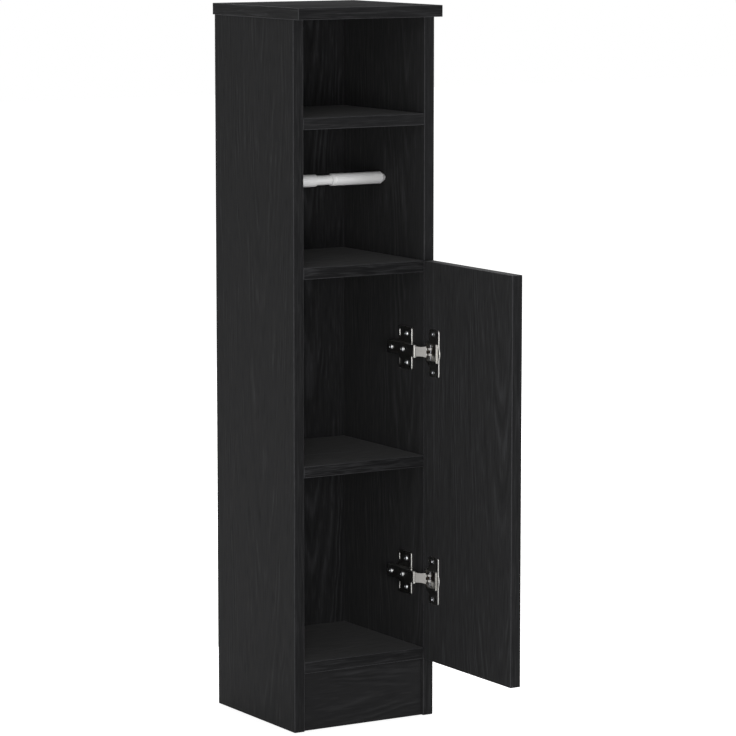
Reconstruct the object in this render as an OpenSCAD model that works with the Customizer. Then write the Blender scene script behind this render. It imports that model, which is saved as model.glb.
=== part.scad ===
// Slim free-standing storage cabinet for toilet rolls, drawn with its door standing open.
// Millimetres. The origin is on the floor, in the middle of the plinth's foot; +Z is up and the front faces -Y.
// The pieces are drawn from the body's front left corner, and placed() moves them to the origin.

/* [Body] */
// Width across the two side panels
cabinet_w = 210; // [190:1:320]
// Depth of the side panels
cabinet_d = 202; // [185:1:300]
// Height from the floor to the upper face of the top panel
cabinet_h = 930; // [880:1:1100]
// Thickness of every coated chipboard panel
panel_t = 15; // [14:0.5:18]
// Thickness of the hardboard back panel
back_t = 2.5; // [2:0.5:4]
// How far the back panel stays inside the body's outer sides
back_inset = 1; // [0:0.5:4]
// How far the top panel stands out past each side panel
top_overhang = 2; // [0:0.5:8]
// Rounding of the panels' visible front edges
edge_r = 1; // [0.5:0.1:1.2]

/* [Shelves] */
// Height of the plinth, and so of the floor panel's underside
plinth_h = 76; // [60:1:110]
// How far the plinth stands back from the front edges
plinth_setback = 4; // [0:1:20]
// Clear height between the floor panel and the inner shelf
lower_room_h = 240; // [200:1:260]
// Clear height between the inner shelf and the middle shelf
upper_room_h = 240; // [190:1:260]
// Clear height of the niche that holds the roll
roll_niche_h = 175; // [150:1:190]

/* [Door] */
// Gap between the closed door and the body's front edges
door_gap = 2; // [2:0.1:3]
// How far each upright edge of the closed door stays inside the body's outer side
door_side_reveal = 2; // [1.5:0.1:3]
// How far the door stays above the floor panel's underside
door_bottom_reveal = 1; // [0:0.5:4]
// Distance of the turning axis from the door's hinge edge
axis_from_edge = 6.4; // [6:0.1:6.5]
// Depth of the turning axis behind the door's inner face
axis_from_face = 8.9; // [8.8:0.1:9.2]

/* [Hinges] */
// Height of the upper hinge's middle below the door's top edge
upper_hinge_drop = 118; // [60:1:150]
// Height of the lower hinge's middle above the door's bottom edge
lower_hinge_rise = 108; // [60:1:140]
// Radius of the hinge cup
cup_r = 17.5; // [17:0.1:18]
// Depth of the hinge cup in the door
cup_depth = 11.3; // [11:0.1:11.6]
// Wood left between the cup and the door's hinge edge
cup_edge_gap = 3; // [3:0.1:3.6]
// Thickness of the pressed cup's wall
cup_wall = 0.9; // [0.8:0.05:1]
// Thickness of the cup's flange on the door's inner face
flange_t = 1.3; // [1:0.1:1.5]
// Length of the cup's flange along the door edge
flange_l = 62; // [60:1:66]
// Distance between a cup's two screws
cup_screw_gap = 50; // [48:1:52]
// Height of the lips beside the cup's mouth above its flange
lip_h = 1.6; // [1:0.1:2]
// Length of the wall plate along the panel's front edge
plate_l = 56; // [54:1:60]
// Thickness of the wall plate's wings
plate_t = 2.6; // [2:0.1:3]
// Distance of the wall plate's front edge behind the panel's front edge
plate_front = 26; // [25:1:30]
// Depth of the wall plate's wings, from front to back
plate_wing_d = 31; // [30:1:34]
// Distance between a wall plate's two screws
plate_screw_gap = 38; // [36:1:40]
// Distance of the wall plate's screws behind its front edge
plate_screw_in = 12.5; // [11:0.5:14]
// Height of the hinge arm's outer face off the wall
arm_h = 13; // [12.6:0.1:13.4]
// Width of the hinge arm across its two cheeks
arm_w = 15.6; // [15:0.1:16]
// Distance of the hinge arm's rear end behind the panel's front edge
arm_rear = 69; // [67:1:74]
// Thickness of the hinge arm's sheet
arm_sheet = 1.2; // [1:0.1:1.4]
// Thickness of the hinge link's sheet
link_t = 1.6; // [1.4:0.1:1.8]
// Radius of the pin at the hinge arm's nose
arm_pin_r = 1.25; // [1.1:0.05:1.3]
// Radius of the pin in the hinge cup
cup_pin_r = 0.9; // [0.8:0.05:0.95]

/* [Roll spindle] */
// Height of the spindle above the middle shelf
spindle_rise = 101; // [85:1:110]
// Distance of the spindle behind the panels' front edges
spindle_in = 99; // [70:1:120]
// Outer radius of the spindle's two halves
spindle_r = 8; // [7:0.1:9]
// Radius of the neck that slides in the sleeve
neck_r = 6.4; // [5.8:0.1:6.4]
// Length of the neck that shows between the two halves
neck_show = 22; // [16:1:26]
// Length of the neck inside the sleeve
neck_in = 36; // [30:1:38]
// Length of the sleeve up to its cone
sleeve_l = 75.5; // [70:0.5:80]
// Length of the cone at each end of the spindle
cone_l = 6; // [4:0.5:8]
// Radius of the journals that turn in the side panels
journal_r = 3; // [2.5:0.1:3.5]
// How far the half with the neck can be pushed into the sleeve, which frees its journal
push_travel = 8; // [7:0.5:9]
// Wire thickness of the spring inside the sleeve
wire_d = 0.9; // [0.7:0.1:1.1]
// Turns of the spring inside the sleeve
spring_turns = 10; // [7:1:12]

/* [Fittings] */
// Radius of the wooden dowels
dowel_r = 4; // [3:0.5:4]
// Length of the wooden dowels
dowel_l = 30; // [25:1:35]
// Radius of the cam locks
cam_r = 7.5; // [7:0.1:7.5]
// Thickness of the cam locks
cam_h = 12; // [11:0.5:12]
// Distance of a cam lock's middle from the end of its panel
cam_in = 34; // [32:1:36]
// Distance of the cam locks from the front edges, and from the back edges
cam_row = 37; // [30:1:45]
// Radius of the screws in the plates and cups
screw_r = 1.75; // [1.5:0.05:1.9]
// Radius of the screw heads on the plates and cups
screw_head_r = 3.5; // [3.2:0.1:3.6]
// Length of the screws in the plates and cups
screw_l = 12; // [10:0.5:12]
// Length of the nails in the back panel
nail_l = 20; // [15:1:25]

/* [Hidden] */
$fn = 48;

// Colours as the eye takes them
WOOD = [0.13, 0.13, 0.135];
STEEL = [0.72, 0.73, 0.74];
ZINC = [0.62, 0.63, 0.65];
PLASTIC = [0.80, 0.80, 0.79];
BEECH = [0.76, 0.62, 0.42];

// Small allowances
overlap_cut = 1;       // how far a cutting solid runs past a face
running_gap = 0.05;    // radial gap of a shaft that turns or slides
seat_gap = 0.1;        // gap of a piece pressed or screwed into wood
hole_spare = 1;        // depth left below a dowel, a journal or a nail

// Body, worked out from its front left corner on the floor
side_h = cabinet_h - panel_t;
inner_x0 = panel_t;
inner_x1 = cabinet_w - panel_t;
inner_w = inner_x1 - inner_x0;
floor_z = plinth_h;
inner_shelf_z = floor_z + panel_t + lower_room_h;
middle_shelf_z = inner_shelf_z + panel_t + upper_room_h;
upper_shelf_z = middle_shelf_z + panel_t + roll_niche_h;
shelf_levels = [floor_z, inner_shelf_z, middle_shelf_z, upper_shelf_z];
top_front = door_gap + panel_t;
top_back = back_t;
back_h = side_h - floor_z;

// Door: closed it covers the front, at rest it stands a quarter turn open about the axis
door_w = cabinet_w - 2 * door_side_reveal;
door_z0 = floor_z + door_bottom_reveal;
door_z1 = middle_shelf_z + panel_t;
door_h = door_z1 - door_z0;
axis_x = cabinet_w - door_side_reveal - axis_from_edge;
axis_y = -door_gap - axis_from_face;
door_face_x = axis_x - axis_from_face;
door_edge_y = axis_y + axis_from_edge;

// Hinges
hinge_levels = [door_z1 - upper_hinge_drop, door_z0 + lower_hinge_rise];
cup_y = door_edge_y - cup_edge_gap - cup_r;
flange_in = 6.5;        // flange's near edge from the cup's middle, towards the hinge edge
flange_out = 16.5;      // flange's far edge from the cup's middle
flange_ring = 0.8;      // width of the flange's ring around the cup's mouth
cup_screw_out = 2.5;    // screws' distance from the cup's middle, away from the hinge edge
mouth_half = 10.5;      // half the mouth's length along the door edge
mouth_out = 10.5;       // mouth's far edge from the cup's middle
lip_w = 1.5;            // width of a lip
lip_in = 5.5;           // lips' near end from the cup's middle
cup_pin_in = 12.7;      // cup pin's distance from the cup's middle, towards the hinge edge
cup_pin_depth = 5;      // cup pin's depth behind the door's inner face
cup_pin_half = 10.9;    // half the cup pin's length
cup_pin_x = door_face_x + cup_pin_depth;
cup_pin_y = cup_y + cup_pin_in;
gate_gap = 0.4;         // room beside the link's tines where they enter the cup
nose_in = 1;            // arm pin's depth under the arm's outer face
nose_y = 4;             // arm pin's distance behind the panel's front edge
nose_x = inner_x1 - arm_h + nose_in;
nose_r = 2.6;           // outer radius of the arm's cheeks around their pin
nose_touch = nose_r * [-0.6, 0.8]; // where a cheek's edge meets its round nose
ridge_half = 5.6;       // half the width of the plate's ridge
ridge_y0 = 22;          // ridge's front end behind the panel's front edge
ridge_past = 1;         // how far the ridge runs on behind the arm
cheek_y0 = ridge_y0 - 4; // front end of the cheeks' full depth
cheek_gap = 1;          // room between the cheeks and the plate's wings
barrel_r = 2.2;         // outer radius of the link's barrel
barrel_gap = 1;         // room between the link's barrel and the arm's web
bend_out = 0.2;         // bend's height over the door's inner face
bend_past = 1.1;        // bend's distance past the cup pin
bend_x = door_face_x - bend_out;
bend_y = cup_pin_y + bend_past;
eye_r = 1.9;            // outer radius of the link's eyes
slot_r = 1.4;           // half width of the slot in the link's eyes
slot_in = -1.95;        // slot's end towards the arm, from the pin at rest
slot_out = 0.4;         // slot's far end, from the pin at rest
tine_half = 5;          // half the link's width inside the cup
tine_slot = 2.2;        // half the gap between the link's two tines
tine_lead = 0.85;       // how far before the bend the tines begin
link_half = 7;          // half the link's widest width
waist_cut_r = 26;       // radius of the hollow that makes the link's waist
waist_half = 6.2;       // half the link's width at its waist
reach = norm([cup_pin_x - nose_x, cup_pin_y - nose_y]);
reach_dir = [cup_pin_x - nose_x, cup_pin_y - nose_y] / reach;
arm_screw_y = [32, 60]; // arm screws' distances behind the panel's front edge
arm_screw_r = 2;
arm_screw_l = 8;
arm_head_r = 3.4;
arm_head_h = 1.8;
slot_y = 27.5;          // slots' middle behind the plate's front edge
slot_w = 3;             // slots' width
slot_l = 8;             // slots' length
wing_r = 3;             // rounding of the wings' corners

// Roll spindle
spindle_z = middle_shelf_z + panel_t + spindle_rise;
end_gap = 0.5;          // gap between a cone and its side panel
push_spare = 2.5;       // room between a freed journal's end and its side panel
journal_in = push_travel - end_gap - push_spare;
tip_step = 1;           // how far a cone's tip stands past its journal
cone_tip_r = journal_r + tip_step;
sleeve_x1 = inner_x1 - end_gap - cone_l;
sleeve_x0 = sleeve_x1 - sleeve_l;
neck_x0 = sleeve_x0 - neck_show;
neck_x1 = sleeve_x0 + neck_in;
plunger_x0 = inner_x0 + end_gap + cone_l;
sleeve_floor = 5;       // solid plastic left at the sleeve's closed end
bore_x1 = sleeve_x1 - sleeve_floor;
coil_gap = 1.2;         // distance of the wire's middle inside the neck's outer radius
coil_r = neck_r - coil_gap;
ring_groove_in = 5;     // groove's distance from the sleeve's mouth
ring_groove_w = 0.8;    // groove's width
ring_groove_d = 0.4;    // groove's depth
bevel = 1;              // bevel at the sleeve's mouth and the plunger's shoulder
coil_sides = 6;         // corners of the wire's section
coil_steps = 12;        // sections in each turn of the spring

// Fittings
cam_y = [cam_row, cabinet_d - cam_row];
dowel_in = 10;          // dowel's length in the first of its two panels
bolt_thread_r = 2.5;
bolt_thread_l = 10;
bolt_neck_r = 2.9;
bolt_waist_r = 1.8;
bolt_head_l = 2.4;
bolt_waist_l = 3;
cam_gate_h = 6.6;       // height of the hollow in a cam lock
cam_cross_l = 8;        // length of the cross slot in a cam lock's face
cam_cross_w = 1.6;
cross_share = 1.2;      // length of a screw's cross recess, in head radii
cross_w = 0.8;          // width of a screw's cross recess
cross_d = 1;            // depth of a screw's cross recess
pan_h = 2;              // height of the plate screws' heads
pan_top_share = 0.75;   // radius of those heads' upper face, in head radii
nail_r = 0.8;
nail_head_r = 1.8;
nail_head_h = 0.8;
nail_rows = 5;
nail_end_in = 40;       // nails' distance from the back panel's ends
plinth_mid_y = plinth_setback + panel_t / 2;
plinth_dowel_z = [0.25 * plinth_h, 0.75 * plinth_h];

// Moves a piece from the front left corner's frame to the origin
module placed() {
  translate([-cabinet_w / 2, -plinth_mid_y, 0]) children();
}

// Rectangle of size w by h with round corners of radius r, from its lower left corner
module round_rect(w, h, r) {
  translate([r, 0]) square([w - 2 * r, h]);
  translate([0, r]) square([w, h - 2 * r]);
  for (x = [r, w - r], y = [r, h - r]) translate([x, y]) circle(r);
}

// Rectangle of size w by h whose two corners at y = 0 are rounded
module front_round_rect(w, h, r) {
  translate([0, r]) square([w, h - r]);
  translate([r, 0]) square([w - 2 * r, h]);
  for (x = [r, w - r]) translate([x, r]) circle(r);
}

// Board between the side panels, with its front edge rounded above and below
module shelf_board() {
  translate([inner_x1, 0, panel_t])
    rotate([0, -90, 0])
      linear_extrude(inner_w)
        mirror([1, 0]) front_round_rect(panel_t, cabinet_d, edge_r);
}

// Cylinder along X from x0 to x1
module x_rod(r, x0, x1) {
  translate([x0, 0, 0]) rotate([0, 90, 0]) cylinder(r = r, h = x1 - x0);
}

// Cross recess cut into a screw head's face, which lies at z = 0 and looks along +Z
module cross_recess(len) {
  for (a = [0, 90]) rotate(a)
    translate([-len / 2, -cross_w / 2, -cross_d]) cube([len, cross_w, cross_d + overlap_cut]);
}

// Places children at every end of every shelf, with X running from the side panel into the shelf
module at_shelf_ends(rows) {
  for (z = shelf_levels, y = rows) {
    translate([inner_x0, y, z]) children();
    translate([inner_x1, y, z]) mirror([1, 0, 0]) children();
  }
}

// Places children at the plinth's two ends, with X running into the plinth
module at_plinth_ends() {
  for (z = plinth_dowel_z) {
    translate([inner_x0, plinth_mid_y, z]) children();
    translate([inner_x1, plinth_mid_y, z]) mirror([1, 0, 0]) children();
  }
}

// Places children on the side panels' upper ends, with Z running up into the top panel
module at_side_tops() {
  for (x = [panel_t / 2, cabinet_w - panel_t / 2], y = cam_y) translate([x, y, side_h]) children();
}

// A dowel along X, with its first part in the side panel
module dowel_along(spare) {
  x_rod(dowel_r, -dowel_in - spare, dowel_l - dowel_in + spare);
}

// Holes that the shelf fittings need, drawn for one shelf end
module cam_bolt_holes() {
  translate([0, 0, panel_t / 2]) {
    x_rod(bolt_thread_r, -bolt_thread_l - hole_spare, overlap_cut);
    x_rod(bolt_neck_r + seat_gap, 0, cam_in - cam_r + 2 * overlap_cut);
  }
}
module cam_lock_hole() {
  translate([cam_in, 0, -overlap_cut]) cylinder(r = cam_r + seat_gap, h = cam_h + overlap_cut);
}
module shelf_dowel_hole() {
  translate([0, 0, panel_t / 2]) dowel_along(hole_spare);
}

// A shelf at height z with the holes in its two ends
module shelf(z) {
  difference() {
    translate([0, 0, z]) shelf_board();
    for (y = cam_y) for (side = [0, 1])
      translate([side ? inner_x1 : inner_x0, y, z]) mirror([side, 0, 0]) {
        cam_bolt_holes();
        cam_lock_hole();
      }
    for (side = [0, 1])
      translate([side ? inner_x1 : inner_x0, cabinet_d / 2, z]) mirror([side, 0, 0]) shelf_dowel_hole();
  }
}

// Upright side panel from x0, with its front edges rounded
module side_board(x0) {
  translate([x0, 0, 0]) linear_extrude(side_h) front_round_rect(panel_t, cabinet_d, edge_r);
}

// Every hole in the two side panels, apart from those of the hinge plates
module side_holes() {
  at_shelf_ends(cam_y) cam_bolt_holes();
  at_shelf_ends([cabinet_d / 2]) shelf_dowel_hole();
  at_plinth_ends() dowel_along(hole_spare);
  at_side_tops() translate([0, 0, dowel_in - dowel_l - hole_spare]) cylinder(r = dowel_r, h = dowel_l);
  translate([0, spindle_in, spindle_z])
    x_rod(journal_r + running_gap, inner_x0 - journal_in - hole_spare, inner_x1 + journal_in + hole_spare);
  nail_holes();
}

module left_side_panel() {
  color(WOOD) placed() difference() {
    side_board(0);
    side_holes();
  }
}

module right_side_panel() {
  color(WOOD) placed() difference() {
    side_board(inner_x1);
    side_holes();
    for (z = hinge_levels) at_plate_screws(z)
      translate([0, 0, -screw_l - hole_spare]) cylinder(r = screw_r, h = screw_l + hole_spare + overlap_cut);
  }
}

module top_panel() {
  top_w = cabinet_w + 2 * top_overhang;
  top_d = top_front + cabinet_d + top_back;
  color(WOOD) placed() difference() {
    translate([-top_overhang, -top_front, side_h])
      linear_extrude(panel_t) front_round_rect(top_w, top_d, edge_r);
    at_side_tops() cylinder(r = dowel_r, h = dowel_in + hole_spare);
  }
}

module upper_shelf() { color(WOOD) placed() shelf(upper_shelf_z); }
module middle_shelf() { color(WOOD) placed() shelf(middle_shelf_z); }
module inner_shelf() { color(WOOD) placed() shelf(inner_shelf_z); }
module floor_panel() { color(WOOD) placed() shelf(floor_z); }

module plinth() {
  color(WOOD) placed() difference() {
    translate([inner_x0, plinth_setback, 0]) cube([inner_w, panel_t, plinth_h]);
    at_plinth_ends() dowel_along(hole_spare);
  }
}

module back_panel() {
  color(WOOD * 0.9) placed() difference() {
    translate([back_inset, cabinet_d, floor_z]) cube([cabinet_w - 2 * back_inset, back_t, back_h]);
    nail_holes();
  }
}

// Places children at each nail, on the back panel's rear face, with Z pointing out of it
module at_nails() {
  step = (back_h - 2 * nail_end_in) / (nail_rows - 1);
  for (x = [panel_t / 2, cabinet_w - panel_t / 2], row = [0 : nail_rows - 1])
    translate([x, cabinet_d + back_t, floor_z + nail_end_in + row * step]) rotate([-90, 0, 0]) children();
}
module nail_holes() {
  at_nails() {
    translate([0, 0, -nail_l - hole_spare]) cylinder(r = nail_r, h = nail_l + hole_spare);
    translate([0, 0, -nail_head_h]) cylinder(r = nail_head_r, h = nail_head_h + overlap_cut);
  }
}
module back_panel_nails() {
  color(STEEL) placed() at_nails() {
    translate([0, 0, -nail_l]) cylinder(r = nail_r, h = nail_l - nail_head_h / 2);
    translate([0, 0, -nail_head_h]) cylinder(r = nail_head_r, h = nail_head_h);
  }
}

// Door at rest: its length runs along -Y from the hinge edge, its inner face looks along -X
module door_panel() {
  color(WOOD) placed() difference() {
    translate([door_face_x, door_edge_y - door_w, door_z0])
      linear_extrude(door_h) round_rect(panel_t, door_w, edge_r);
    for (z = hinge_levels) {
      at_cup(z) translate([0, 0, -overlap_cut])
        cylinder(r = cup_r, h = cup_depth + seat_gap + overlap_cut);
      at_cup_screws(z) translate([0, 0, -overlap_cut]) cylinder(r = screw_r, h = screw_l + overlap_cut);
    }
  }
}

// Frame of a cup: origin on the door's inner face, Z into the door, X down, Y towards the hinge edge
module at_cup(z) {
  translate([door_face_x, cup_y, z]) rotate([0, 90, 0]) children();
}
module at_cup_screws(z) {
  for (side = [-1, 1]) at_cup(z) translate([side * cup_screw_gap / 2, -cup_screw_out, 0]) children();
}

// Pressed cup with its flange, its mouth open towards the hinge edge, and the two pin holes
module hinge_cup(z) {
  inner_r = cup_r - cup_wall;
  color(ZINC) placed() difference() {
    union() {
      at_cup(z) cylinder(r = cup_r - seat_gap / 2, h = cup_depth);
      at_cup(z) translate([0, 0, -flange_t]) cylinder(r = cup_r + flange_ring, h = flange_t);
      at_cup(z) translate([-flange_l / 2, -flange_out, -flange_t])
        linear_extrude(flange_t) round_rect(flange_l, flange_in + flange_out, wing_r);
      at_cup(z) for (side = [-1, 1])
        translate([side * (mouth_half + lip_w / 2) - lip_w / 2, -mouth_out - lip_w, -flange_t - lip_h])
          cube([lip_w, mouth_out + lip_w - lip_in + 2 * lip_w, lip_h]);
      at_cup(z) translate([-mouth_half, -mouth_out - lip_w, -flange_t - lip_h])
        cube([2 * mouth_half, lip_w, lip_h]);
    }
    at_cup(z) cylinder(r = inner_r, h = cup_depth - cup_wall);
    at_cup(z) translate([-mouth_half, -mouth_out, -flange_t - lip_h - overlap_cut])
      cube([2 * mouth_half, mouth_out + 2 * cup_r, lip_h + flange_t + 2 * overlap_cut]);
    at_cup(z) translate([-tine_half - gate_gap, cup_pin_in - eye_r, 0])
      cube([2 * (tine_half + gate_gap), cup_r, cup_depth - cup_wall]);
    at_cup_pin(z) cylinder(r = cup_pin_r, h = 2 * cup_pin_half, center = true);
    at_cup_screws(z) translate([0, 0, -flange_t - overlap_cut])
      cylinder(r = screw_r, h = flange_t + 2 * overlap_cut);
    at_cup_screws(z) translate([0, 0, -flange_t]) screw_cone(seat_gap);
  }
}
module upper_hinge_cup() { hinge_cup(hinge_levels[0]); }
module lower_hinge_cup() { hinge_cup(hinge_levels[1]); }

// Countersunk part of a screw head: its face at z = 0, its point along +Z
module screw_cone(gap) {
  cylinder(r1 = screw_head_r + gap, r2 = screw_r, h = flange_t + gap);
}
module hinge_cup_screws() {
  color(STEEL) placed() for (z = hinge_levels) at_cup_screws(z) difference() {
    union() {
      translate([0, 0, -flange_t]) cylinder(r1 = screw_head_r, r2 = screw_r, h = flange_t);
      translate([0, 0, -flange_t / 2]) cylinder(r = screw_r, h = screw_l - seat_gap);
    }
    translate([0, 0, -flange_t]) mirror([0, 0, 1]) cross_recess(cross_share * screw_head_r);
  }
}

// Frame of the cup pin: origin in its middle, Z up
module at_cup_pin(z) {
  translate([cup_pin_x, cup_pin_y, z]) children();
}
module hinge_cup_pins() {
  color(STEEL) placed() for (z = hinge_levels) at_cup_pin(z)
    cylinder(r = cup_pin_r, h = 2 * cup_pin_half, center = true);
}

// Frame of the arm pin: origin in its middle, Z up
module at_arm_pin(z) {
  translate([nose_x, nose_y, z]) children();
}
module hinge_arm_pins() {
  color(STEEL) placed() for (z = hinge_levels) at_arm_pin(z)
    cylinder(r = arm_pin_r, h = arm_w, center = true);
}

// Outline of the link seen from above: barrel, bent sheet and slotted eye
module sheet_run(from, to) {
  run = to - from;
  translate(from) rotate(atan2(run[1], run[0])) translate([0, -link_t / 2]) square([norm(run), link_t]);
}
module eye_outline(r) {
  a = [cup_pin_x, cup_pin_y] + slot_in * reach_dir;
  b = [cup_pin_x, cup_pin_y] + slot_out * reach_dir;
  translate(a) circle(r);
  translate(b) circle(r);
  translate(a) rotate(atan2(reach_dir[1], reach_dir[0])) translate([0, -r]) square([norm(b - a), 2 * r]);
}
module link_outline() {
  nose = [nose_x, nose_y];
  bend = [bend_x, bend_y];
  eye = [cup_pin_x, cup_pin_y] + slot_in * reach_dir;
  translate(nose) circle(barrel_r);
  sheet_run(nose, bend);
  translate(bend) circle(link_t / 2);
  sheet_run(bend, eye);
  eye_outline(eye_r);
}

// Pressed link: full width by the arm, waisted, and split into two tines inside the cup
module hinge_link(z) {
  tines_x = bend_x - tine_lead;
  barrel_half = arm_w / 2 - arm_sheet - seat_gap;
  color(STEEL) placed() difference() {
    translate([0, 0, z - link_half]) linear_extrude(2 * link_half) link_outline();
    for (side = [-1, 1]) {
      translate([nose_x - arm_h, (nose_y + bend_y) / 2, z + side * (waist_half + waist_cut_r)])
        x_rod(waist_cut_r, 0, 2 * arm_h);
      translate([tines_x, bend_y - 2 * cup_r, z + side * (tine_half + cup_r / 2) - cup_r / 2])
        cube([cup_r, 2 * cup_r + nose_r, cup_r]);
      translate([nose_x - arm_h, nose_y - nose_r, z + side * (barrel_half + cup_r / 2) - cup_r / 2])
        cube([2 * arm_h, cup_r, cup_r]);
    }
    translate([tines_x, bend_y - 2 * cup_r, z - tine_slot]) cube([cup_r, 3 * cup_r, 2 * tine_slot]);
    at_arm_pin(z) cylinder(r = arm_pin_r + running_gap, h = 3 * link_half, center = true);
    translate([0, 0, z - 2 * link_half]) linear_extrude(4 * link_half) eye_outline(slot_r);
  }
}
module upper_hinge_link() { hinge_link(hinge_levels[0]); }
module lower_hinge_link() { hinge_link(hinge_levels[1]); }

// Pressed channel that sits on the plate's ridge and carries the link's pin in its nose
module hinge_arm(z) {
  web_x = inner_x1 - arm_h;
  cheek_d = arm_h - plate_t - cheek_gap;
  web_front = nose_y + barrel_r + barrel_gap;
  color(STEEL) placed() difference() {
    union() {
      translate([web_x, web_front, z - arm_w / 2]) cube([arm_sheet, arm_rear - web_front, arm_w]);
      for (side = [-1, 1]) translate([0, 0, z + side * (arm_w - arm_sheet) / 2 - arm_sheet / 2]) {
        translate([web_x, cheek_y0, 0]) cube([cheek_d, arm_rear - cheek_y0, arm_sheet]);
        translate([nose_x, nose_y, 0]) cylinder(r = nose_r, h = arm_sheet);
        linear_extrude(arm_sheet) polygon([
          [web_x, ridge_y0], [web_x, web_front], [nose_x, nose_y] + nose_touch,
          [nose_x, nose_y], [nose_x + nose_r, nose_y], [web_x + cheek_d, ridge_y0]
        ]);
      }
    }
    at_arm_pin(z) cylinder(r = arm_pin_r, h = 2 * arm_w, center = true);
    at_arm_screws(z) translate([0, 0, -arm_sheet - overlap_cut])
      cylinder(r = arm_screw_r, h = arm_sheet + 2 * overlap_cut);
  }
}
module upper_hinge_arm() { hinge_arm(hinge_levels[0]); }
module lower_hinge_arm() { hinge_arm(hinge_levels[1]); }

// Frame of an arm screw: origin on the arm's outer face, Z pointing out of it
module at_arm_screws(z) {
  for (y = arm_screw_y) translate([inner_x1 - arm_h, y, z]) rotate([0, -90, 0]) children();
}
module hinge_arm_screws() {
  color(STEEL) placed() for (z = hinge_levels) at_arm_screws(z) difference() {
    union() {
      cylinder(r = arm_head_r, h = arm_head_h);
      translate([0, 0, -arm_screw_l]) cylinder(r = arm_screw_r, h = arm_screw_l + arm_head_h / 2);
    }
    translate([0, 0, arm_head_h]) cross_recess(cross_share * arm_head_r);
  }
}

// Frame of a plate screw: origin on the side panel's inner face, Z pointing out of it
module at_plate_screws(z) {
  for (side = [-1, 1])
    translate([inner_x1, plate_front + plate_screw_in, z + side * plate_screw_gap / 2])
      rotate([0, -90, 0]) children();
}

// Cast plate: two wings screwed to the side panel, and the ridge under the arm
module hinge_plate(z) {
  ridge_h = arm_h - arm_sheet;
  color(ZINC) placed() difference() {
    union() {
      translate([inner_x1, plate_front, z - plate_l / 2]) rotate([0, -90, 0])
        linear_extrude(plate_t) round_rect(plate_l, plate_wing_d, wing_r);
      translate([inner_x1 - ridge_h, ridge_y0, z - ridge_half])
        cube([ridge_h, arm_rear - ridge_y0 + ridge_past, 2 * ridge_half]);
    }
    at_plate_screws(z) translate([0, 0, -overlap_cut])
      cylinder(r = screw_r + seat_gap, h = plate_t + 2 * overlap_cut);
    at_arm_screws(z) translate([0, 0, -arm_screw_l - hole_spare])
      cylinder(r = arm_screw_r, h = arm_screw_l + hole_spare);
    for (side = [-1, 1])
      translate([inner_x1 - plate_t - overlap_cut, plate_front + slot_y - slot_w / 2,
                 z + side * plate_screw_gap / 2 - slot_l / 2])
        cube([plate_t + 2 * overlap_cut, slot_w, slot_l]);
  }
}
module upper_hinge_plate() { hinge_plate(hinge_levels[0]); }
module lower_hinge_plate() { hinge_plate(hinge_levels[1]); }

module hinge_plate_screws() {
  color(STEEL) placed() for (z = hinge_levels) at_plate_screws(z) difference() {
    union() {
      translate([0, 0, -screw_l]) cylinder(r = screw_r, h = screw_l + plate_t + pan_h / 2);
      translate([0, 0, plate_t]) cylinder(r1 = screw_head_r, r2 = pan_top_share * screw_head_r, h = pan_h);
    }
    translate([0, 0, plate_t + pan_h]) cross_recess(cross_share * screw_head_r);
  }
}

// Frame of the spindle: its axis along X, from the body's left side
module at_spindle() {
  translate([0, spindle_in, spindle_z]) children();
}

// Tip of either half, from its body's end at x = 0 to the journal's end along +X
module spindle_tip() {
  rotate([0, 90, 0]) {
    cylinder(r1 = spindle_r, r2 = cone_tip_r, h = cone_l);
    cylinder(r = journal_r, h = cone_l + end_gap + journal_in);
  }
}

module spindle_sleeve() {
  color(PLASTIC) placed() at_spindle() difference() {
    union() {
      x_rod(spindle_r, sleeve_x0 + bevel, sleeve_x1);
      translate([sleeve_x0, 0, 0]) rotate([0, 90, 0])
        cylinder(r1 = spindle_r - bevel / 2, r2 = spindle_r, h = bevel);
      translate([sleeve_x1, 0, 0]) spindle_tip();
    }
    x_rod(neck_r + running_gap, sleeve_x0 - overlap_cut, bore_x1);
    translate([sleeve_x0 + ring_groove_in, 0, 0]) rotate([0, 90, 0]) rotate_extrude()
      translate([spindle_r - ring_groove_d, 0]) square([ring_groove_d + overlap_cut, ring_groove_w]);
  }
}

module spindle_plunger() {
  color(PLASTIC) placed() at_spindle() {
    x_rod(spindle_r, plunger_x0, neck_x0 - bevel);
    translate([neck_x0 - bevel, 0, 0]) rotate([0, 90, 0])
      cylinder(r1 = spindle_r, r2 = spindle_r - bevel, h = bevel);
    x_rod(neck_r, neck_x0 - bevel, neck_x1);
    translate([plunger_x0, 0, 0]) mirror([1, 0, 0]) spindle_tip();
  }
}

// Round wire wound on a helix from the neck's end to the sleeve's floor, as one closed tube
function coil_point(i, a, x0, len, total) =
  let (turn = 360 * i / coil_steps, rr = coil_r + wire_d / 2 * cos(a))
  [x0 + wire_d / 2 + (len - wire_d) * i / total + wire_d / 2 * sin(a), rr * cos(turn), rr * sin(turn)];
module spindle_spring() {
  total = spring_turns * coil_steps;
  rings = [for (i = [0 : total], s = [0 : coil_sides - 1])
    coil_point(i, 360 * s / coil_sides, neck_x1, bore_x1 - neck_x1, total)];
  sides = [for (i = [0 : total - 1], s = [0 : coil_sides - 1])
    let (n = (s + 1) % coil_sides, k = i * coil_sides)
    each [[k + s, k + n, k + coil_sides + n], [k + s, k + coil_sides + n, k + coil_sides + s]]];
  start = [for (s = [1 : coil_sides - 2]) [0, s + 1, s]];
  last = total * coil_sides;
  finish = [for (s = [1 : coil_sides - 2]) [last, last + s, last + s + 1]];
  color(STEEL) placed() at_spindle() polyhedron(points = rings, faces = concat(sides, start, finish));
}

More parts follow.
